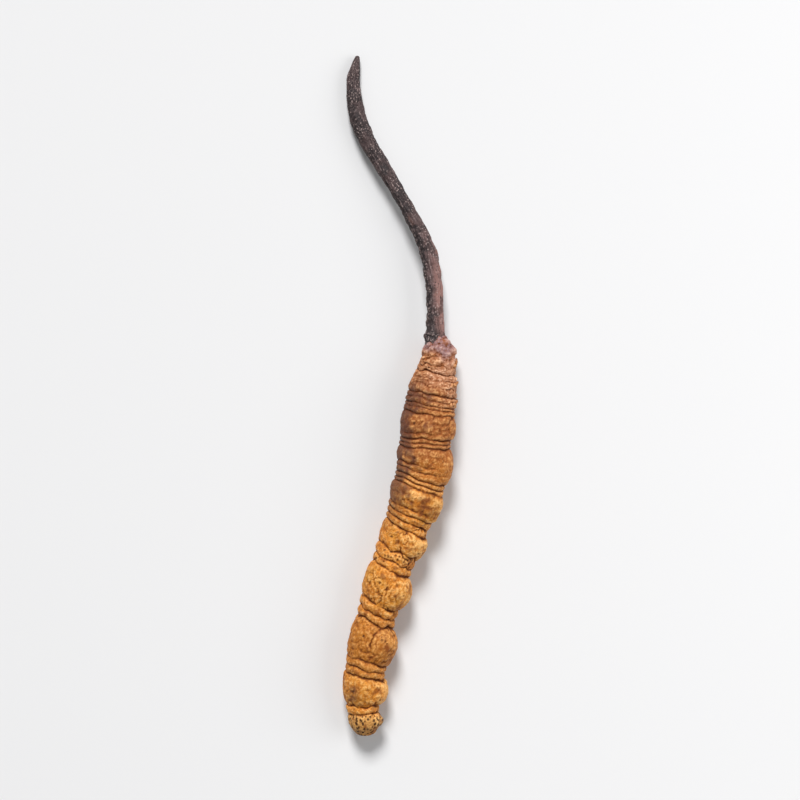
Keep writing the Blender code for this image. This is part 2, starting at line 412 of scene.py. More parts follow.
class Tree:
    """One material's nodes, ending in a Principled shader."""

    def __init__(self, name: str) -> None:
        """Makes an empty material with its shader and output.

        Args:
            name: The material's name.
        """
        self.material = bpy.data.materials.new(name)
        self.material.use_nodes = True
        self.nodes = self.material.node_tree.nodes
        self.links = self.material.node_tree.links
        self.shader = self.nodes["Principled BSDF"]
        self.place = self.add("ShaderNodeTexCoord", output="Object")

    def add(self, kind: str, settings: dict[str, Any] | None = None,
            inputs: dict[Any, Any] | None = None, output: Any = 0) -> Field:
        """Adds a node.

        Args:
            kind: The node's type.
            settings: Its own settings, which are set first.
            inputs: Values or fields for its sockets, by name or number.
            output: The socket to return.

        Returns:
            The node's output as a field.
        """
        node = self.nodes.new(kind)
        for key, value in (settings or {}).items():
            setattr(node, key, value)
        for key, value in (inputs or {}).items():
            if isinstance(value, Field):
                self.links.new(value.socket, node.inputs[key])
            else:
                node.inputs[key].default_value = value
        return Field(self, node.outputs[output])

    def mask(self, label: str) -> Field:
        """A number that the mesh carries at each of its points."""
        return self.add("ShaderNodeAttribute", {"attribute_name": label}, output=2)

    def noise(self, size: float, detail: float = 3.0, roughness: float = 0.55) -> Field:
        """Smooth noise, 0 to 1, with features of a size in millimetres."""
        inputs = {"Vector": self.place, "Scale": 1 / (size * MM), "Detail": detail, "Roughness": roughness}
        return self.add("ShaderNodeTexNoise", {}, inputs)

    def grains(self, size: float) -> Field:
        """The distance to the nearest of scattered points about a size in millimetres apart, 0 to about 1."""
        return self.add("ShaderNodeTexVoronoi", {}, {"Vector": self.place, "Scale": 1 / (size * MM)})

    def blend(self, factor: Field, first: Any, second: Any) -> Field:
        """A colour: first, with second laid over it by the factor."""
        first, second = ((*value, 1.0) if isinstance(value, tuple) else value for value in (first, second))
        return self.add("ShaderNodeMix", {"data_type": "RGBA"}, {0: factor, 6: first, 7: second}, 2)

    def layered(self, colour: Any, *layers: tuple[Field, Any]) -> Field:
        """A colour with others laid over it in turn; each layer is (factor, colour).

        Args:
            colour: The lowest one.
            layers: The ones above it, in order.

        Returns:
            The mixed colour.
        """
        for factor, over in layers:
            colour = self.blend(factor, colour, over)
        return colour

    def bumps(self, *reliefs: tuple[Field, float]) -> Field:
        """Fine reliefs, one on top of another; each is (height, depth in millimetres).

        Args:
            reliefs: The coarsest first.

        Returns:
            The normal that they give.
        """
        inputs: dict[str, Any] = {}
        for height, depth in reliefs:
            inputs |= {"Height": height, "Distance": depth * MM, "Strength": 1.0}
            inputs["Normal"] = self.add("ShaderNodeBump", {}, inputs)
        return inputs["Normal"]

    def finish(self, colour: Field, roughness: Field, normal: Field, specular: float) -> None:
        """Links the three things that vary over the surface and sets the one that doesn't.

        Args:
            colour: The base colour.
            roughness: The roughness.
            normal: The bumped normal.
            specular: The specular level.
        """
        for name, value in (("Base Color", colour), ("Roughness", roughness), ("Normal", normal)):
            self.links.new(value.socket, self.shader.inputs[name])
        self.shader.inputs["Specular IOR Level"].default_value = specular


@dataclass(frozen=True)
class LarvaSkin:
    """Dry ochre skin: golden towards the tail, ruddy then rosy towards the head, with brown painted shade in its
    creases.

    The straw and raised colours are painted highlights on the crests, also strewn at random as pale flecks. The
    darkest brown is painted shadow on the back over the front half of the body, which is also darker there, and the
    colour of the dark smudges, scar and tail nub.
    """

    name: str = "larva_skin_finish"
    gold: Colour = (0.80, 0.288, 0.032)
    amber: Colour = (0.60, 0.185, 0.013)
    olive: Colour = (0.62, 0.295, 0.04)
    # straw and the raised colours are painted highlights on the crests, also strewn at random as pale flecks
    straw: Colour = (0.98, 0.565, 0.19)
    ruddy: Colour = (0.27, 0.072, 0.018)
    raised_ochre: Colour = (0.82, 0.385, 0.105)
    raised_ruddy: Colour = (0.80, 0.38, 0.13)
    raised_rose: Colour = (0.95, 0.60, 0.40)
    raised_head: Colour = (0.55, 0.36, 0.33)
    rose: Colour = (0.46, 0.20, 0.10)
    head: Colour = (0.27, 0.15, 0.155)
    ochre: Colour = (0.43, 0.14, 0.014)
    pale: Colour = (0.56, 0.30, 0.09)
    # painted shade in creases and hollows, and in the legs' joints
    crease_shade: Colour = (0.12, 0.028, 0.004)
    stain: Colour = (0.27, 0.07, 0.008)
    # painted shadow on the back over the front half of the body, and the colour of the dark smudges, scar and tail nub
    dark_marks_and_shadow: Colour = (0.10, 0.036, 0.025)
    pit: Colour = (0.045, 0.015, 0.006)
    roughness: float = 0.56
    specular: float = 0.22

    def material(self) -> bpy.types.Material:
        """Builds the skin's material from the masks that its mesh carries and from fine noise.

        Returns:
            The finished material.
        """
        tree = Tree(self.name)
        # crest carries the painted highlights and crease the painted shade
        crest, crease_shade = tree.mask("crest"), tree.mask("crease_shade")
        mottle, fleck, grit = tree.noise(0.9, 4.0, 0.6), tree.noise(0.16, 3.0, 0.6), tree.noise(0.3, 3.0, 0.65)
        regions = {region: tree.mask(region) for region in ("ochre", "ruddy", "rose", "head")}
        raised = tree.layered(self.straw, *((mask, getattr(self, f"raised_{name}")) for name, mask in regions.items()))
        colour = tree.layered(
            tree.blend(mottle.between(0.3, 0.7), self.amber, self.gold),
            (tree.noise(2.4).between(0.45, 0.68) * 0.4, self.olive),
            *((mask, getattr(self, name)) for name, mask in regions.items()),
            (tree.mask("pale"), self.pale),
            # painted highlights on the crests
            (crest * (fleck * 0.8 + 0.55), raised),
            (fleck.between(0.55, 0.7) * 0.45, raised),
            (grit.between(0.52, 0.3) * 0.55, self.stain),
            (fleck.between(0.48, 0.3) * 0.55, self.stain),
            (tree.mask("stain") * (fleck + 0.45), self.stain),
            # painted shadow on the back, with the dark smudges, scar and tail nub
            (tree.mask("dark_marks_and_shadow") * (fleck * 0.7 + 0.55), self.dark_marks_and_shadow),
            # painted shade in the creases
            (crease_shade, self.crease_shade),
            (tree.mask("pit"), self.pit),
        )
        worn = crest * fleck.between(0.5, 0.7)
        roughness = fleck * 0.24 + crease_shade * 0.2 - worn * 0.25 + (self.roughness - 0.12)
        normal = tree.bumps((grit, 0.12), (tree.grains(0.13), 0.014), (tree.noise(0.07, 3.0, 0.6), 0.025))
        tree.finish(colour, roughness, normal, self.specular)
        return tree.material


@dataclass(frozen=True)
class StalkSkin:
    """Dry purplish brown fungus: darker on one side and towards the tip, with painted light on the other side low
    down, pale specks, and painted highlights on its raised grains.
    """

    name: str = "stroma_skin_finish"
    umber: Colour = (0.105, 0.062, 0.058)
    mauve: Colour = (0.168, 0.1, 0.098)
    # painted light on one side of the stalk's lower part
    painted_side_light: Colour = (0.33, 0.165, 0.14)
    black: Colour = (0.022, 0.014, 0.015)
    # pale specks, and painted highlights on the raised grains
    dust_and_highlight: Colour = (0.40, 0.30, 0.28)
    rust: Colour = (0.26, 0.115, 0.075)
    roughness: float = 0.62
    specular: float = 0.38

    def material(self) -> bpy.types.Material:
        """Builds the stalk's material from the masks that its mesh carries and from fine noise.

        Returns:
            The finished material.
        """
        tree = Tree(self.name)
        # crest carries the painted highlights and crease the painted shade
        crest, crease_shade = tree.mask("crest"), tree.mask("crease_shade")
        mottle, fleck, grit = tree.noise(0.7, 4.0, 0.6), tree.noise(0.13, 3.0, 0.65), tree.noise(0.28, 3.0, 0.65)
        specks = tree.grains(0.28).between(0.36, 0.16) * tree.noise(1.1).between(0.42, 0.58)
        colour = tree.layered(
            tree.blend(mottle.between(0.3, 0.7), self.umber, self.mauve),
            (tree.mask("rust"), self.rust),
            # painted light on one side of the stalk's lower part
            (tree.mask("painted_side_light"), self.painted_side_light),
            (tree.mask("dark") * (mottle + 0.5), self.black),
            # painted highlights on the raised grains
            (crest * fleck.between(0.4, 0.62), self.dust_and_highlight),
            (specks * 0.9, self.dust_and_highlight),
            # painted shade in the creases
            (crease_shade, self.black),
        )
        roughness = fleck * 0.2 + crease_shade * 0.15 + (self.roughness - 0.1)
        normal = tree.bumps((grit, 0.1), (tree.grains(0.13), 0.02), (tree.noise(0.06, 3.0, 0.6), 0.02))
        tree.finish(colour, roughness, normal, self.specular)
        return tree.material


# The larva


class RingKind(Enum):
    """What a ring of the larva's skin is, with the power of the super-ellipse that rounds it."""

    KNOB = 2.05
    THORAX = 2.1
    LOBE = 2.7
    FOLD = 2.0
    TAIL = 2.6


KNOB, THORAX, LOBE, FOLD, TAIL = RingKind


@dataclass(frozen=True)
class Ring:
    """One ring of skin, up to the crease at its tail side.

    Attributes:
        end: Where its closing crease is, as a distance from the head joint.
        kind: What it is.
        depth: How deep that crease is.
        sink: How far its crest lies below the body's full girth.
        fade: The angle from the belly's middle line inside which the ring melts into the one before it.
    """

    end: float
    kind: RingKind
    depth: float
    sink: float = 0.0
    fade: float = 0.0

    def kept(self, belly: Array) -> Array:
        """How much of the ring is left, 0 to 1, at angles from the belly's middle line."""
        return ramp(self.fade - 8, self.fade + 16, belly) if self.fade else np.ones_like(belly)


@dataclass(frozen=True)
class Dome:
    """A round swelling of the skin, such as a proleg.

    Attributes:
        at: Distance from the head joint.
        angle: Where it is round the body.
        radius: Its size along the surface.
        height: How far it stands out.
        rim: Depth of the crease round its edge.
        rings: Depth of the ring-shaped creases round its middle, as a share of the rim's.
        squat: Its length along the body as a share of its width.
    """

    at: float
    angle: float
    radius: float
    height: float
    rim: float = 0.0
    rings: float = 0.0
    squat: float = 1.0


@dataclass
class Larva:
    """The larva's body: its skin, and the three pairs of thorax legs that stand on it.

    The spine is given from the middle of the CAD body's box, and girth has rows of (distance from the head joint,
    radius). Caps are the lengths of the round ends, pressed is how far the belly would sink into the floor, and
    slant is how far the creases lean. The patches of colour, from scar to nub_shade, are each (place, angle, half
    length, half width in degrees).
    """

    spine: Table = (
        (4.09, 22.54), (4.24, 19.94), (3.69, 16.74), (3.04, 12.24), (2.44, 7.44), (1.04, 1.94),
        (-0.66, -2.96), (-2.31, -8.46), (-3.66, -14.56), (-4.11, -19.46), (-3.96, -22.76),
    )
    girth: Table = (
        (0.0, 1.3), (0.9, 1.72), (2.0, 2.02), (4.0, 2.38), (6.0, 2.86), (8.5, 3.04), (13.5, 3.12), (18.0, 3.1),
        (23.0, 2.78), (29.0, 2.8), (32.5, 2.62), (36.0, 2.74), (41.0, 2.56), (43.5, 2.2), (45.2, 1.82), (46.2, 1.2),
    )
    rings: tuple[Ring, ...] = tuple(Ring(*row) for row in (
        (0.8, KNOB, 0.1), (2.0, KNOB, 0.16), (2.85, THORAX, 0.18), (3.75, THORAX, 0.36), (4.6, THORAX, 0.18),
        (5.4, THORAX, 0.16), (6.25, THORAX, 0.38), (6.7, FOLD, 0.16, 0.1), (7.35, FOLD, 0.24, 0.06),
        (7.75, FOLD, 0.14, 0.16), (8.45, FOLD, 0.32, 0.1), (10.6, LOBE, 0.16), (11.3, FOLD, 0.3, 0.12, 70),
        (11.8, FOLD, 0.26, 0.2), (12.3, FOLD, 0.38, 0.16), (14.2, LOBE, 0.24), (14.9, FOLD, 0.26, 0.1, 58),
        (15.7, FOLD, 0.3, 0.12, 46), (16.3, FOLD, 0.36, 0.2), (16.85, FOLD, 0.34, 0.2), (19.4, LOBE, 0.24),
        (20.1, FOLD, 0.28, 0.1, 54), (20.95, FOLD, 0.36, 0.18), (21.8, FOLD, 0.46, 0.18), (24.5, LOBE, 0.38),
        (25.9, FOLD, 0.32, 0.1), (26.9, FOLD, 0.5, 0.2), (30.9, LOBE, 0.42), (32.1, FOLD, 0.42, 0.14),
        (33.3, FOLD, 0.5, 0.16), (37.7, LOBE, 0.36), (38.6, FOLD, 0.32, 0.16), (39.6, FOLD, 0.44, 0.22),
        (42.9, LOBE, 0.38), (44.1, FOLD, 0.4, 0.12), (46.2, TAIL, 0.0),
    ))
    domes: tuple[Dome, ...] = tuple(Dome(*row) for row in (
        (1.2, 20, 1.9, 0.22), (1.1, 190, 1.9, -0.28), (10.0, 15, 1.5, 0.26), (10.1, 95, 1.1, 0.1, 0.08),
        (14.1, 18, 1.9, 0.42), (17.6, 90, 1.7, 0.12, 0.12, 0.0, 0.55), (18.5, 32, 1.8, 0.28, 0.1),
        (23.2, 52, 2.4, 0.4, 0.15, 0.15), (23.4, 8, 1.6, 0.2), (29.3, 52, 2.2, 0.34, 0.13, 0.7),
        (29.4, 6, 1.7, 0.22), (35.4, 54, 2.3, 0.36, 0.15, 0.35), (35.6, 8, 1.8, 0.26),
        (18.4, -40, 1.7, 0.3, 0.1, 0.3), (23.4, -46, 2.0, 0.32, 0.13, 0.5), (29.3, -46, 2.0, 0.32, 0.13, 0.5),
        (35.6, -44, 2.0, 0.32, 0.13, 0.5), (41.4, 25, 1.8, 0.24, 0.07), (44.8, 38, 0.85, 0.2, 0.08),
        (44.8, -38, 0.85, 0.2, 0.08), (45.0, 16, 0.55, 0.36, 0.0, 0.0, 1.2),
    ))
    scar: Row = (18.7, 62, 1.0, 22)
    flush: Row = (35.3, 72, 1.3, 30)
    smudge: Row = (41.2, 122, 1.0, 20)
    nub_shade: Row = (45.0, 14, 0.55, 20)
    spiracles: Row = (3.1, 9.6, 13.4, 18.3, 23.0, 28.4, 34.9, 41.0)
    spiracle_angle: float = 116.0
    rows: int = 470
    columns: int = 204
    cap_rows: int = 11
    path_rows: int = 80
    fine_rows: int = 3000
    caps: tuple[float, float] = (0.75, 0.4)
    flatten: float = 0.94
    pressed: float = 0.13
    head_lift: float = 1.1
    head_lift_end: float = 8.0
    tail_lift: float = 1.0
    tail_lift_start: float = 42.0
    belly_sink: float = 0.36
    slant: float = 0.4
    fold_density: float = 0.5
    fold_margin: float = 0.4
    seam_wander: float = 0.22
    seam_gap: float = 0.1
    furrow_depth: float = 0.11
    wrinkle_height: float = 0.07
    pebble_height: float = 0.05
    grain_height: float = 0.045
    swell_height: float = 0.06
    head_lumps: float = 0.24
    pit_depth: float = 0.055
    leg_places: Row = (2.9, 4.95, 7.1)
    leg_rows: int = 30
    leg_columns: int = 20
    leg_joints: int = 3
    leg_angle: float = 36.0
    leg_turn: float = 9.0
    leg_lean: float = 0.75
    leg_root: float = 0.35
    leg_radius: float = 0.26
    leg_tip: float = 0.04
    skin: LarvaSkin = LarvaSkin()

    @property
    def length(self) -> float:
        """The body's length along its spine."""
        return self.rings[-1].end

    def path(self) -> Path:
        """The spine, whose ends rise off the floor.

        Returns:
            The line that the skin is wrapped round.
        """
        places = np.linspace(0, self.length, self.path_rows)
        head = self.head_lift * np.clip(1 - places / self.head_lift_end, 0, 1) ** 2
        tail_share = (places - self.tail_lift_start) / (self.length - self.tail_lift_start)
        tail = self.tail_lift * np.clip(tail_share, 0, 1) ** 2
        height = self.flatten * smooth_table(self.girth, places)[:, 0] - self.pressed + head + tail
        return Path.placed_in("larva_body", self.spine, np.column_stack([places / self.length, height]))

    def places(self) -> Array:
        """The grid's rows: closer together over folds than over lobes, and closer still on the round ends.

        Returns:
            Distances from the head joint.
        """
        fine = np.linspace(0, self.length, self.fine_rows)
        density = np.ones_like(fine)
        start = 0.0
        for ring in self.rings:
            if ring.kind is not LOBE:
                begun = ramp(start - self.fold_margin, start, fine)
                density += self.fold_density * begun * ramp(ring.end + self.fold_margin, ring.end, fine)
            start = ring.end
        share = np.cumsum(density)
        inner = np.interp(np.linspace(share[0], share[-1], self.rows - 2 * self.cap_rows), share, fine)
        round_end = np.sin(np.linspace(0, np.pi / 2, self.cap_rows + 1)[1:])
        return np.concatenate([-self.caps[0] * round_end[::-1], inner, self.length + self.caps[1] * round_end])

    def relief(self, places: Array, angles: Array) -> tuple[Array, dict[str, Array]]:
        """The height of the skin above the body's girth, from its rings down to its grains.

        Args:
            places: The rows' distances from the head joint.
            angles: The columns' angles in degrees.

        Returns:
            (heights, masks), all rows by columns.
        """
        s, turn = np.meshgrid(places, angles, indexing="ij")
        radius = smooth_table(self.girth, np.clip(places, 0, self.length))[:, :1] + np.zeros_like(s)
        spot = on_tube(s, turn, radius)
        rings, fullness = self.ring_relief(s, turn)
        domes, dome_middle = self.dome_relief(s, turn, radius, spot)
        coarse, fine = Noise(11), Noise(12)
        lobes, thorax = ramp(0.35, 0.75, fullness), ramp(9.0, 6.5, s)
        warped = spot + 0.4 * coarse.fractal(spot / 1.1, 3)[..., None]
        nearest, second = coarse.cells(warped / (1.6, 1.9, 1.9))
        furrows = bell((second - nearest) / 0.1) * lobes * np.clip(0.35 + 1.2 * coarse.at(spot / 2.1), 0, 1)
        wrinkles = fine.creased(spot / (0.5, 1.7, 1.7), 2) - 0.6
        pebbles = coarse.creased(spot / (0.62, 0.75, 0.75), 2, 0.6) - 0.6
        lumps = ramp(0.8, 0.1, coarse.cells(spot / 0.95 + 7)[0]) - 0.4
        pitted, pits = self.pits(s, turn, spot, dome_middle)
        height = rings + domes - self.furrow_depth * furrows - self.pit_depth * pitted
        height += self.head_lumps * lumps * ramp(3.4, 2.0, s)
        height += (self.wrinkle_height + 0.05 * thorax) * wrinkles
        height += (self.pebble_height * lobes + 0.06 * thorax) * pebbles
        height += (self.grain_height + 0.025 * thorax) * fine.fractal(spot / 0.5, 3, 0.65)
        height += self.swell_height * coarse.at(spot / 1.9) + 0.13 * thorax * fine.at(spot / 1.3 + 5)
        height *= 0.3 + 0.7 * ramp(-self.caps[0], 0.1, s) * ramp(self.length + self.caps[1], self.length - 0.3, s)
        masks = self.masks(s, turn, spot, height)
        masks["pit"] = np.clip(pits, 0, 1)
        return height, masks

    def ring_relief(self, s: Array, turn: Array) -> tuple[Array, Array]:
        """Rings and creases: between two creases the skin rises to its crest as a super-ellipse.

        A crease wanders along the body and changes depth as it goes round. A ring that melts into the one before
        it loses its own sink and the crease between the two.

        Args:
            s: Distances from the head joint.
            turn: Angles in degrees.

        Returns:
            (heights, how lobe-like the skin is, 0 in folds and creases to 1 on lobes).
        """
        angles = turn[0]
        belly = np.abs(angle_between(angles, 0))
        wander = Noise(21)
        ends = np.array([0.0] + [ring.end for ring in self.rings])[:, None]
        numbers = np.arange(len(ends))[:, None]
        gaps = np.diff(ends, axis=0)
        room = np.minimum(np.append(gaps, [[9]], axis=0), np.insert(gaps, 0, 9, axis=0))
        slope = self.slant * ramp(11, 18, ends) * ramp(44, 38, ends) * np.cos(np.radians(angles))
        together = self.seam_wander * wander.at(on_tube(ends / 4.5, angles, 1.25))
        alone = (0.28 + 0.2 * ramp(9, 6, ends)) * room * wander.at(on_tube(numbers * 7.3, angles, 2.1))
        spare = self.seam_gap * numbers
        seams = np.maximum.accumulate(ends + slope + together + alone - spare, axis=0) + spare
        seams[0], seams[-1] = -1.0, self.length + 1.0
        ends, numbers = ends[1:], numbers[1:]
        sizes = np.array([(ring.sink, ring.depth, ring.kind is FOLD, ring.kind is LOBE, ring.kind.value)
                          for ring in self.rings])
        sink, depth, folded, is_lobe, power = (sizes[:, [part]] for part in range(5))
        kept = np.array([ring.kept(belly) for ring in self.rings])
        retreat = self.belly_sink * window(angles, 4, 36, 36) * ramp(18, 24, ends) * folded
        swell = (0.03 + 0.02 * folded) * wander.at(on_tube(numbers * 5.1 + 60, angles, 2.6))
        crests = swell - (sink + retreat) * kept
        depths = depth * np.clip(0.85 + 0.7 * wander.at(on_tube(numbers * 3.7 + 30, angles, 2.4)), 0.12, 1.5)
        bottoms = np.minimum(crests[:-1], crests[1:]) - depths[:-1] * kept[1:]
        bottoms = np.concatenate([crests[:1] - 0.1, bottoms, crests[-1:] - 0.2])
        inside = np.clip(np.sum(s[None] >= seams[1:-1, None, :], axis=0), 0, len(self.rings) - 1)
        column = np.broadcast_to(np.arange(len(angles)), s.shape)
        start, end, crest = seams[inside, column], seams[inside + 1, column], crests[inside, column]
        offset = np.clip(2 * (s - start) / (end - start) - 1, -1, 1)
        power = power[inside, 0]
        fall = 1 - (1 - np.abs(offset) ** power) ** (1 / power)
        bottom = np.where(offset < 0, bottoms[inside, column], bottoms[inside + 1, column])
        return crest - (crest - bottom) * fall, is_lobe[inside, 0] * (1 - fall)

    def dome_relief(self, s: Array, turn: Array, radius: Array, spot: Array) -> tuple[Array, Array]:
        """Domes: a rounded swelling, with ring-shaped creases and a dimpled middle on the prolegs.

        Args:
            s: Distances from the head joint.
            turn: Angles in degrees.
            radius: The body's radius.
            spot: Points on the smooth body, for noise.

        Returns:
            (heights, how near the middle of a proleg each point is).
        """
        uneven, broken = Noise(31).at(spot / 1.1), Noise(32).at(spot / 0.55)
        total, middle = np.zeros_like(s), np.zeros_like(s)
        for dome in self.domes:
            aside = np.radians(angle_between(turn, dome.angle)) * radius
            reach = np.hypot((s - dome.at) / dome.squat, aside) / dome.radius * (1 + 0.1 * uneven)
            total += dome.height * np.clip(1 - reach**2, 0, 1) ** 1.4
            for ring_at, share in ((0.86, 1.0), (0.33, dome.rings), (0.6, dome.rings)):
                groove = bell((reach - ring_at - 0.12 * broken) / 0.055)
                total -= dome.rim * share * groove * np.clip(0.6 + 1.4 * uneven, 0, 1.2)
            if dome.rings:
                middle = np.maximum(middle, ramp(0.8, 0.2, reach))
        return total, middle

    def pits(self, s: Array, turn: Array, spot: Array, dome_middle: Array) -> tuple[Array, Array]:
        """Small dark pits: thick on the tail, in one band and on the prolegs, sparse elsewhere, and the spiracles.

        Args:
            s: Distances from the head joint.
            turn: Angles in degrees.
            spot: Points on the smooth body, for noise.
            dome_middle: How near the middle of a proleg each point is.

        Returns:
            (how deep each point lies in a pit, how dark it is), 0 to 1.
        """
        scatter = Noise(41)
        tail = ramp(43.8, 44.6, s)
        nearest, _ = scatter.cells(np.where(tail[..., None] > 0, spot / 0.36, spot / 0.46))
        band = ramp(24.6, 25.0, s) * ramp(26.3, 25.9, s) * ramp(30, 60, np.abs(angle_between(turn, -10)))
        chance = 0.16 + 0.75 * np.clip(band + 1.1 * tail + 0.2 * dome_middle, 0, 1.1) + 0.16 * ramp(20, 26, s)
        chosen = ramp(0.0, 0.12, chance - 0.5 - 0.45 * scatter.at(spot / 0.9))
        hole = ramp(0.42, 0.2, nearest - 0.06 * tail) * chosen
        spiracles = np.zeros_like(s)
        for (number, at), side in itertools.product(enumerate(self.spiracles), (1, -1)):
            angle = side * (self.spiracle_angle + 6 * math.sin(number * 2.1))
            aside = np.radians(angle_between(turn, angle)) * 2.8
            spiracles = np.maximum(spiracles, ramp(0.22, 0.09, np.hypot((s - at) * 1.3, aside)))
        return np.maximum(hole, spiracles), (0.7 + 0.3 * tail) * hole + 0.7 * spiracles

    def masks(self, s: Array, turn: Array, spot: Array, height: Array) -> dict[str, Array]:
        """Numbers for the material: painted shade in what is sunk, painted highlights on what stands out, painted
        shadow on the back, and the regions of colour.

        Args:
            s: Distances from the head joint.
            turn: Angles in degrees.
            spot: Points on the smooth body, for noise.
            height: The relief.

        Returns:
            One array for each mask.
        """
        near, far = blurred(height, 5) - height, blurred(height, 45) - height
        patches = Noise(51)
        cloud, spots = patches.fractal(spot / 2.6, 3), patches.fractal(spot / 0.8 + 5, 3)
        along = s + 1.6 * cloud
        # painted shadow on the back over the front half of the body, where the back is also darker
        dark_back_and_shadow = ramp(102, 54, np.abs(angle_between(turn + 34 * cloud + 22 * spots, 196)))
        dark_back_and_shadow = 0.88 * dark_back_and_shadow * ramp(4.0, 7.0, along) * ramp(24, 17, along)
        rows = (self.scar, self.flush, self.smudge, self.nub_shade)
        scar, flush, smudge, nub = (patch(s, turn, *row) for row in rows)
        stain = 0.75 * ramp(0.3, 0.75, spots) + 0.3 * ramp(2.5, 0.5, s) * ramp(0, 0.5, spots)
        stain += 0.6 * flush * ramp(-0.3, 0.5, spots) + 0.95 * scar * ramp(-0.5, 0.4, spots)
        # the painted shadow on the back, with the dark smudges, tail nub and scar
        dark_marks_and_shadow = dark_back_and_shadow + 0.75 * smudge * ramp(-0.7, 0.3, spots) + 0.975 * nub + 0.4 * scar * ramp(-0.3, 0.5, spots)
        return {
            # painted shade in creases and broad hollows, and painted highlights on what stands out
            "crease_shade": np.clip(0.7 * ramp(0.006, 0.05, near) + 0.75 * ramp(0.03, 0.2, far), 0, 1),
            "crest": np.clip(0.55 * ramp(0.0, 0.045, -near) + 0.4 * ramp(0.02, 0.16, -far), 0, 1),
            "ochre": 0.85 * ramp(30, 35, along) * ramp(41, 38, along),
            "ruddy": 0.85 * ramp(20.5, 11, along),
            "rose": ramp(8.5, 3.5, along) * (0.45 + 0.45 * window(turn + 40 * cloud, 5, 60, 60)),
            "head": 0.95 * ramp(2.1, 0.5, s + 0.8 * cloud - 0.6 * window(turn, 20, 50, 50)),
            "pale": 0.75 * ramp(43.6, 44.8, s + 0.3 * cloud),
            "stain": np.clip(stain, 0, 1),
            "dark_marks_and_shadow": np.clip(dark_marks_and_shadow, 0, 1),
        }

    def body(self) -> Piece:
        """The skin: a tube about the spine whose radius is the girth plus the relief, kept above the floor.

        Returns:
            The new piece.
        """
        places = self.places()
        angles = np.arange(self.columns) * 360 / self.columns
        height, masks = self.relief(places, angles)
        held = np.clip(places, 0, self.length)
        girth = smooth_table(self.girth, held)[:, 0]
        beyond = (places - held) / np.where(places < 0, self.caps[0], self.caps[1])
        roundness = np.sqrt(1 - (0.998 * beyond) ** 2)
        wobble = Noise(61).at(on_tube(places[:, None] / 7, angles))
        radius = (girth[:, None] * (1 + 0.012 * wobble) + height) * roundness[:, None]
        points = around(self.path().frames(places), angles, radius, self.flatten)
        piece = tube_mesh("larva_skin", [points], [masks])
        piece.data.materials.append(self.skin.material())
        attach(piece, "root")
        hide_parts("larva_body")
        return piece

    def legs(self) -> Piece:
        """Three pairs of thorax legs: short horny tapered tubes that curl along the belly, with two joints each.

        Returns:
            The new piece.
        """
        share = np.linspace(0, 1, self.leg_rows)
        angles = np.arange(self.leg_columns) * 360 / self.leg_columns
        stretch = share * self.leg_joints
        rise = -self.leg_root + 1.15 * share - 0.5 * share**2
        knuckles = 0.045 * bell((stretch % 1 - 0.5) / 0.2)
        gaps = bell(((stretch + 0.5) % 1 - 0.5) / 0.12)[:, None]
        radius = self.leg_radius * (1 - share) ** 0.7 + self.leg_tip + knuckles
        radius = (radius * np.sqrt(np.clip(1 - share**10, 0.02, 1)))[:, None]
        tubes, masks = [], []
        for at, side in itertools.product(self.leg_places, (1, -1)):
            middle, sideways, upwards = self.path().frames(at - self.leg_lean * share**2)
            turn = np.radians(side * (self.leg_angle - self.leg_turn * share))[:, None]
            reach = smooth_table(self.girth, np.full(self.leg_rows, at)) + rise[:, None]
            line = middle + reach * (np.cos(turn) * sideways + self.flatten * np.sin(turn) * upwards)
            rough = Noise(65).fractal(on_tube(share[:, None] * 4 + at, angles), 3)
            tubes.append(around((line, *crosswise(line, (0, 1, 0))), angles, radius + 0.02 * rough))
            flat = np.zeros_like(rough)
            # painted shade in the joints with random darker tone, and painted highlights along the segments
            masks.append({"ruddy": flat + 0.6, "rose": flat + 0.4, "crease_shade": np.clip(0.6 * gaps + 0.5 * rough, 0, 1),
                          "crest": 0.5 * (1 - gaps) + flat, "stain": 0.8 * share[:, None] ** 2 + flat})
        piece = tube_mesh("thorax_legs", tubes, masks)
        piece.data.materials.append(self.skin.material())
        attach(piece, "root")
        return piece


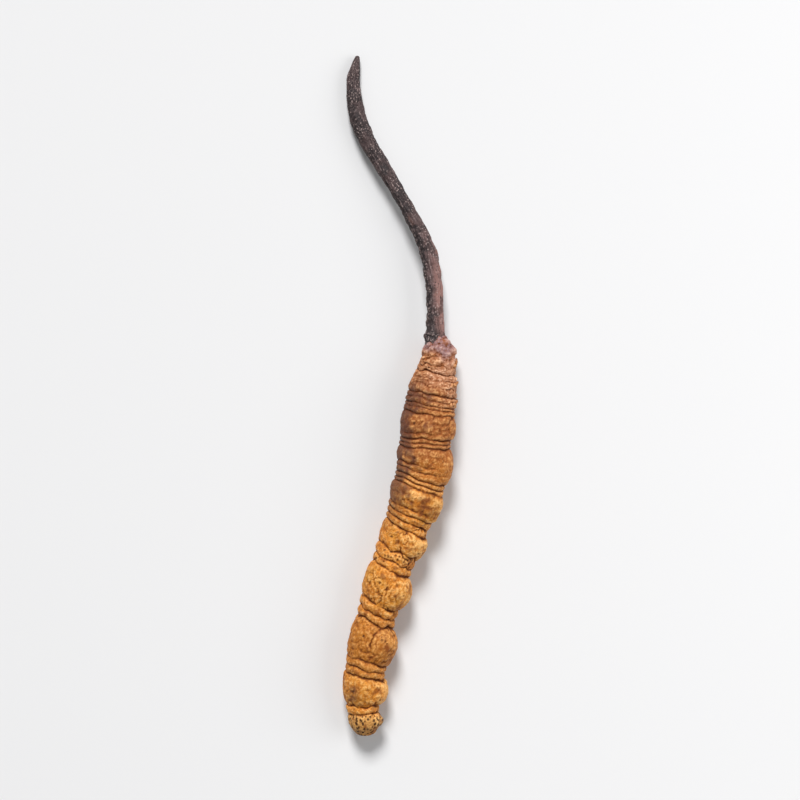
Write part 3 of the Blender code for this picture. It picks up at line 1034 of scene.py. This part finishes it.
@dataclass
class Stalk:
    """The fungus stalk that grew from the larva's head, and the small bud beside its foot.

    The line is given from the middle of the CAD stalk's box. Girth and height have rows of (share of the length,
    radius or height above the floor). Foot is how far the stalk reaches into the head.
    """

    line: Table = (
        (4.59, -16.02), (4.39, -13.42), (4.34, -11.32), (4.09, -8.52), (3.69, -6.42), (3.09, -4.72), (2.24, -3.02),
        (1.09, -0.92), (-0.31, 1.48), (-1.41, 3.28), (-2.81, 5.58), (-4.01, 7.98), (-4.71, 10.58), (-4.86, 13.18),
        (-4.41, 15.78),
    )
    girth: Table = (
        (0.0, 1.06), (0.05, 1.0), (0.15, 0.96), (0.3, 0.93), (0.4, 0.84), (0.5, 0.78), (0.6, 0.8), (0.72, 0.9),
        (0.84, 0.88), (0.91, 0.76), (0.96, 0.58), (0.985, 0.42), (1.0, 0.26),
    )
    height: Table = (
        (0.0, 2.38), (0.3, 2.28), (0.55, 1.75), (0.75, 1.05), (0.84, 0.83), (1.0, 0.62),
    )
    rows: int = 560
    columns: int = 92
    foot: float = 0.6
    tip: float = 0.2
    tip_rows: int = 11
    twist: float = 2.2
    ridge_height: float = 0.13
    fibre_height: float = 0.05
    wrinkle_height: float = 0.09
    swell_height: float = 0.09
    knob_height: float = 0.09
    groove_height: float = 0.035
    granule_height: float = 0.035
    collar_height: float = 0.2
    pit_depth: float = 0.05
    crack_depth: float = 0.06
    bud_offset: Point = (-0.95, 0.35, 0.2)
    bud_radius: float = 0.36
    bud_stretch: float = 1.7
    bud_rows: int = 42
    bud_columns: int = 48
    skin: StalkSkin = StalkSkin()

    def relief(self, share: Array, places: Array, angles: Array) -> tuple[Array, dict[str, Array]]:
        """The height of the stalk's skin above its girth.

        Ridges run along it with a slow twist, one side of its lower half is knobbly, and its upper part is grainy.

        Args:
            share: The rows' places as shares of the length.
            places: The same in millimetres.
            angles: The columns' angles in degrees.

        Returns:
            (heights, masks), all rows by columns.
        """
        s, turn = np.meshgrid(places, angles, indexing="ij")
        part = np.broadcast_to(share[:, None], s.shape)
        spot = on_tube(s, turn, 0.95)
        along = on_tube(s / 4.5, turn + self.twist * s, 1.7)
        large, small = Noise(71), Noise(72)
        ridges = large.creased(along, 2) - 0.6
        fibres = small.creased(along * (2.2, 2.6, 2.6)) - 0.6
        wrinkles = small.creased(spot / (1.3, 0.32, 0.32), 2) - 0.6
        knobs = ramp(0.75, 0.2, large.cells(spot / 0.5)[0])
        granules = ramp(0.8, 0.2, small.cells(spot / 0.24)[0])
        drift = 34 * large.fractal(spot / 1.5 + 6, 2)
        knobbly = window(turn + drift, 12, 42, 40) * ramp(0.62, 0.3, part)
        grainy = ramp(0.5, 0.7, part)
        collar = ramp(1.5, 0.1, s + 0.9 * large.at(spot / (9.0, 0.5, 0.5))) * window(turn, 15, 50, 60)
        grooved = np.cos(2 * (np.radians(turn) - 0.6 - large.at(spot / (6.0, 90, 90))))
        pitted = ramp(0.3, 0.12, small.cells(spot / 0.3 + 4)[0]) * ramp(-0.1, 0.3, large.at(spot / 0.8 + 9))
        cracks = bell(large.at(spot / (2.6, 0.6, 0.6) + 3) / 0.08) * ramp(0.0, 0.4, small.at(spot / 1.2))
        height = self.ridge_height * ridges * (1 - 0.4 * grainy) + self.fibre_height * fibres
        height += self.wrinkle_height * wrinkles + self.swell_height * large.at(spot / 1.3)
        height += self.groove_height * grooved - self.pit_depth * pitted - self.crack_depth * cracks
        height += (self.knob_height * knobbly + 0.05 * collar) * knobs + self.collar_height * collar
        height += self.granule_height * (0.3 + 0.7 * grainy) * granules + 0.02 * small.at(spot / 0.3)
        near = blurred(height, 4) - height
        far = blurred(height, 30) - height
        patches = large.fractal(spot / 1.4 + 3, 3)
        shade = 0.85 * knobbly + 0.5 * collar + 0.65 * ramp(0.15, 0.55, part) + 0.6 * ramp(-0.1, 0.5, patches)
        return height, {
            # painted shade in creases, and painted highlights on raised grains
            "crease_shade": np.clip(0.6 * ramp(0.004, 0.04, near) + 0.5 * ramp(0.02, 0.09, far), 0, 1),
            "crest": np.clip(0.6 * ramp(0.004, 0.03, -near) + 0.3 * ramp(0.02, 0.08, -far), 0, 1),
            "dark": np.clip(shade + 0.6 * pitted + 0.45 * cracks, 0, 1),
            # painted light on one side of the stalk's lower part
            "painted_side_light": 0.8 * window(turn, 160, 45, 45) * ramp(0.42, 0.12, part),
            "rust": 0.7 * ramp(0.2, 0.7, small.fractal(spot / 1.7, 2)) * ramp(0.6, 0.3, part),
        }

    def stalk(self) -> Piece:
        """The stalk: a tube from inside the head to a rounded tip.

        Returns:
            The new piece.
        """
        path = Path.placed_in("stroma", self.line, self.height)
        round_end = np.sin(np.linspace(0, np.pi / 2, self.tip_rows + 1)[1:])
        inner = np.linspace(-self.foot, path.length, self.rows - self.tip_rows)
        places = np.concatenate([inner, path.length + self.tip * round_end])
        angles = np.arange(self.columns) * 360 / self.columns
        share = np.clip(places / path.length, 0, 1)
        height, masks = self.relief(share, places, angles)
        beyond = np.clip(places - path.length, 0, None) / (self.tip * 1.002)
        shrink = np.sqrt(1 - beyond**2)[:, None]
        radius = (smooth_table(self.girth, share) + height * ramp(1.03, 0.93, share)[:, None]) * shrink
        points = around(path.frames(places), angles, radius)
        return self.dressed(tube_mesh("stroma_skin", [points], [masks]), True)

    def bud(self) -> Piece:
        """The bud: a rough egg-shaped knob, its axis pointing out from the stalk's foot.

        Returns:
            The new piece.
        """
        foot = Path.placed_in("stroma", self.line, self.height).frames(np.zeros(1))[0][0]
        outward = np.array(self.bud_offset) / np.linalg.norm(self.bud_offset)
        swing = np.linspace(-np.pi / 2, np.pi / 2, self.bud_rows + 2)[1:-1]
        middle = foot + self.bud_offset + np.outer(np.sin(swing) * self.bud_radius * self.bud_stretch, outward)
        angles = np.arange(self.bud_columns) * 360 / self.bud_columns
        s, turn = np.meshgrid(np.sin(swing), angles, indexing="ij")
        spot = on_tube(s, turn)
        knobs, _ = Noise(81).cells(spot / 0.5)
        height = 0.1 * Noise(82).fractal(spot / 0.7, 3) + 0.07 * ramp(0.7, 0.2, knobs)
        radius = (self.bud_radius + height) * np.cos(swing)[:, None] ** 0.8
        # painted shade in the hollows, and painted highlights towards the bud's outer end
        masks = {"crease_shade": ramp(0.0, 0.05, blurred(height, 4) - height), "crest": 0.4 * ramp(0.3, 0.9, s),
                 "dark": np.full(s.shape, 0.75)}
        points = around((middle, *crosswise(middle)), angles, radius)
        return self.dressed(tube_mesh("stroma_bud", [points], [masks]), False)

    def dressed(self, piece: Piece, is_stalk: bool) -> Piece:
        """Gives a piece the stalk's finish and its place in the model; the stalk itself stands for the CAD node.

        Args:
            piece: The stalk or the bud.
            is_stalk: Which of them it is.

        Returns:
            The same piece.
        """
        piece.data.materials.append(self.skin.material())
        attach(piece, "root")
        if is_stalk:
            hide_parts("stroma")
        return piece


# The surface it lies on, the light and the camera


@dataclass(frozen=True)
class Lamp:
    """A square soft light that points at the specimen."""

    name: str
    place: Point
    size: float
    power: float


@dataclass
class Studio:
    """A pale surface, soft lights and a camera above the specimen, all in metres."""

    floor_size: float = 1.6
    floor_colour: Colour = (0.795, 0.795, 0.80)
    floor_roughness: float = 0.9
    floor_specular: float = 0.2
    world: float = 0.26
    lens: float = 100.0
    sensor: float = 36.0
    nearest: float = 0.01
    distance: float = 0.252
    tilt: float = 5.0
    lamps: tuple[Lamp, ...] = (
        Lamp("key", (-0.32, 2.64, 2.4), 1.0, 138.0),
        Lamp("fill", (0.22, 0.02, 0.16), 0.2, 0.25),
    )

    def build(self) -> None:
        """Makes all of it, aimed at the middle of the model."""
        low, high = (Vector(corner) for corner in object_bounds())
        target = (low + high) / 2
        self.floor()
        self.surroundings()
        for lamp in self.lamps:
            self.light(lamp, target)
        self.camera(target)

    def floor(self) -> None:
        """A square at height 0 with a matt pale finish."""
        half = self.floor_size / 2
        corners = [(-half, -half, 0), (half, -half, 0), (half, half, 0), (-half, half, 0)]
        mesh = bpy.data.meshes.new("floor")
        mesh.from_pydata(corners, [], [(0, 1, 2, 3)])
        piece = bpy.data.objects.new("floor", mesh)
        bpy.context.scene.collection.objects.link(piece)
        material = bpy.data.materials.new("floor_finish")
        material.use_nodes = True
        shader = material.node_tree.nodes["Principled BSDF"]
        shader.inputs["Base Color"].default_value = (*self.floor_colour, 1)
        shader.inputs["Roughness"].default_value = self.floor_roughness
        shader.inputs["Specular IOR Level"].default_value = self.floor_specular
        mesh.materials.append(material)
        piece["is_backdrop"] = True

    def surroundings(self) -> None:
        """An even pale grey light from all round."""
        world = bpy.data.worlds.new("surroundings")
        world.use_nodes = True
        background = world.node_tree.nodes["Background"]
        background.inputs["Color"].default_value = (1, 1, 1, 1)
        background.inputs["Strength"].default_value = self.world
        bpy.context.scene.world = world
        bpy.context.scene.view_settings.view_transform = "Standard"

    def light(self, lamp: Lamp, target: Vector) -> None:
        """One area light.

        Args:
            lamp: Its place, size and power.
            target: The point it faces.
        """
        data = bpy.data.lights.new(lamp.name, "AREA")
        data.energy, data.size = lamp.power, lamp.size
        self.place(lamp.name, data, Vector(lamp.place), (target - Vector(lamp.place)).to_track_quat("-Z", "Y"))

    def camera(self, target: Vector) -> None:
        """The camera, above and a little towards the head, with the head at the top of its view.

        Args:
            target: The point in the middle of its view.
        """
        data = bpy.data.cameras.new("camera")
        data.lens, data.sensor_width, data.clip_start = self.lens, self.sensor, self.nearest
        turn = Euler((-math.radians(self.tilt), 0, 0)).to_quaternion()
        camera = self.place("camera", data, target + turn @ Vector((0, 0, self.distance)), turn)
        bpy.context.scene.camera = camera

    def place(self, name: str, data: bpy.types.ID, place: Vector, turn: Quaternion) -> Piece:
        """Adds an object to the scene at a place and a turn.

        Args:
            name: The object's name.
            data: The light or camera.
            place: Where it is.
            turn: How it is turned.

        Returns:
            The new object.
        """
        item = bpy.data.objects.new(name, data)
        item.location = place
        item.rotation_euler = turn.to_euler()
        bpy.context.scene.collection.objects.link(item)
        return item


def main() -> None:
    """Builds the specimen and then its studio."""
    logging.basicConfig(level=logging.INFO, format="%(name)s: %(message)s")
    larva, stalk = Larva(), Stalk()
    for build in (larva.body, larva.legs, stalk.stalk, stalk.bud):
        piece = build()
        LOG.info("%s: %d faces", piece.name, len(piece.data.polygons))
    Studio().build()


if __name__ == "__main__":
    main()
